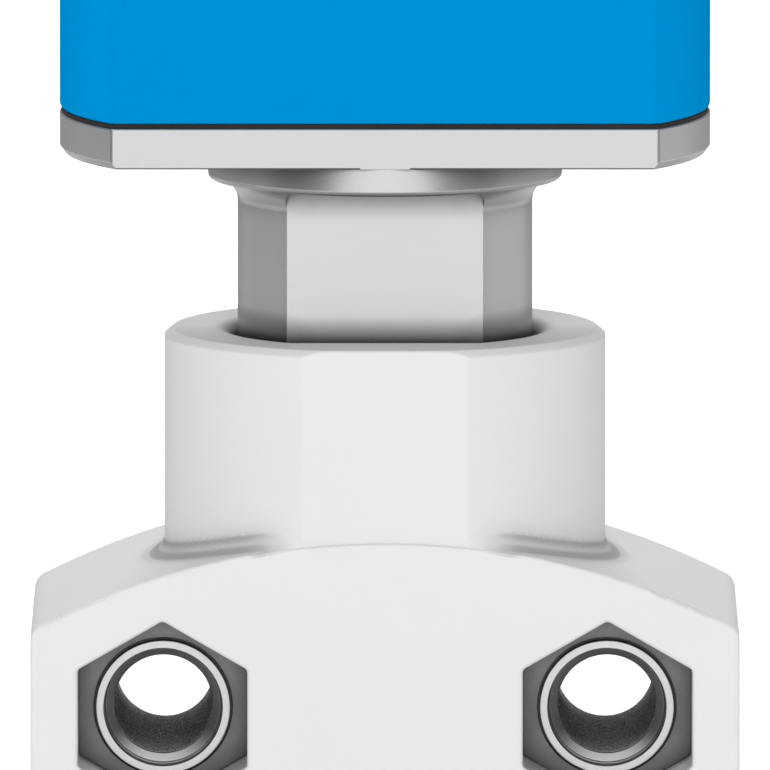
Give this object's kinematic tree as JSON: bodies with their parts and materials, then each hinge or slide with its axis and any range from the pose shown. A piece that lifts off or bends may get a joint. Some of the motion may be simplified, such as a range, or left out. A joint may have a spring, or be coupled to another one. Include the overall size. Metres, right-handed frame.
{
  "type": "parallel gripper",
  "caption": "Pneumatic parallel gripper: flatted blue head, sprung neck in a collar, wide pale body with hexagonal port pockets and wedge-driven sliding jaws.",
  "frame": {"origin": "centre of the robot's bolt circle on the head's top face", "axes": "+Z towards the robot, -Y the front with the port pockets, the jaws move along X"},
  "size_m": [0.0608, 0.0356, 0.1332],
  "materials": {
    "plate_aluminium": "fine turned, clear anodised",
    "stem_aluminium": "fine milled, clear anodised",
    "head_blue": "satin blue, anodised",
    "gasket_black": "matte",
    "body_grey": "satin pale grey coating",
    "guide_aluminium": "hard anodised, satin",
    "liner_bronze": "plain bearing bronze",
    "insert_steel": "dark steel with a bright ring",
    "screw_steel": "black oxide",
    "bright_screw_steel": "zinc plated",
    "spring_steel": "drawn wire",
    "sleeve_steel": "honed",
    "seal_black": "matte",
    "bumper_green": "polyurethane",
    "piston_aluminium": "turned",
    "magnet_grey": "plastic-bonded ferrite",
    "wedge_steel": "hardened and ground",
    "jaw_steel": "hardened, nitrided"
  },
  "bodies": {
    "head": {"mounting_plate": "plate_aluminium", "head_housing": "head_blue", "head_gasket": "gasket_black", "base_plate": "plate_aluminium", "mounting_screws": "screw_steel", "base_screws": "bright_screw_steel", "stem": "stem_aluminium", "stem_screws": "screw_steel", "preload_plug": "bright_screw_steel", "compensation_spring": "spring_steel"},
    "gripper": {"gripper_housing": "body_grey", "guide_liner": "liner_bronze", "stop_screw": "screw_steel", "port_insert_left": "insert_steel", "port_insert_right": "insert_steel", "port_seals": "seal_black", "cylinder_sleeve": "sleeve_steel", "bumper_upper": "bumper_green", "bumper_lower": "bumper_green", "cylinder_cap": "guide_aluminium", "cap_seal": "seal_black", "rod_seal": "seal_black", "jaw_guide": "guide_aluminium", "guide_screws": "screw_steel", "guide_dowels": "bright_screw_steel"},
    "piston": {"piston": "piston_aluminium", "piston_seal": "seal_black", "piston_magnet": "magnet_grey", "piston_screw": "screw_steel", "wedge_rod": "wedge_steel"},
    "jaw_left": {"base_jaw_left": "jaw_steel"},
    "jaw_right": {"base_jaw_right": "jaw_steel"}
  },
  "joints": [
    {"name": "compensation", "type": "slide", "parent": "head", "child": "gripper", "axis": [0, 0, 1], "range_m": [0, 0.0075], "stiffness_N_per_m": 1500, "springref_m": -0.01, "deforming": ["compensation_spring"]},
    {"name": "piston_stroke", "type": "slide", "parent": "gripper", "child": "piston", "axis": [0, 0, 1], "range_m": [0, 0.008]},
    {"name": "jaw_left_slide", "type": "slide", "parent": "gripper", "child": "jaw_left", "axis": [1, 0, 0], "range_m": [0, 0.004]},
    {"name": "jaw_right_slide", "type": "slide", "parent": "gripper", "child": "jaw_right", "axis": [1, 0, 0], "range_m": [-0.004, 0]}
  ],
  "couplings": [
    {"joint": "jaw_left_slide", "follows": "piston_stroke", "ratio": 0.5},
    {"joint": "jaw_right_slide", "follows": "piston_stroke", "ratio": -0.5}
  ]
}
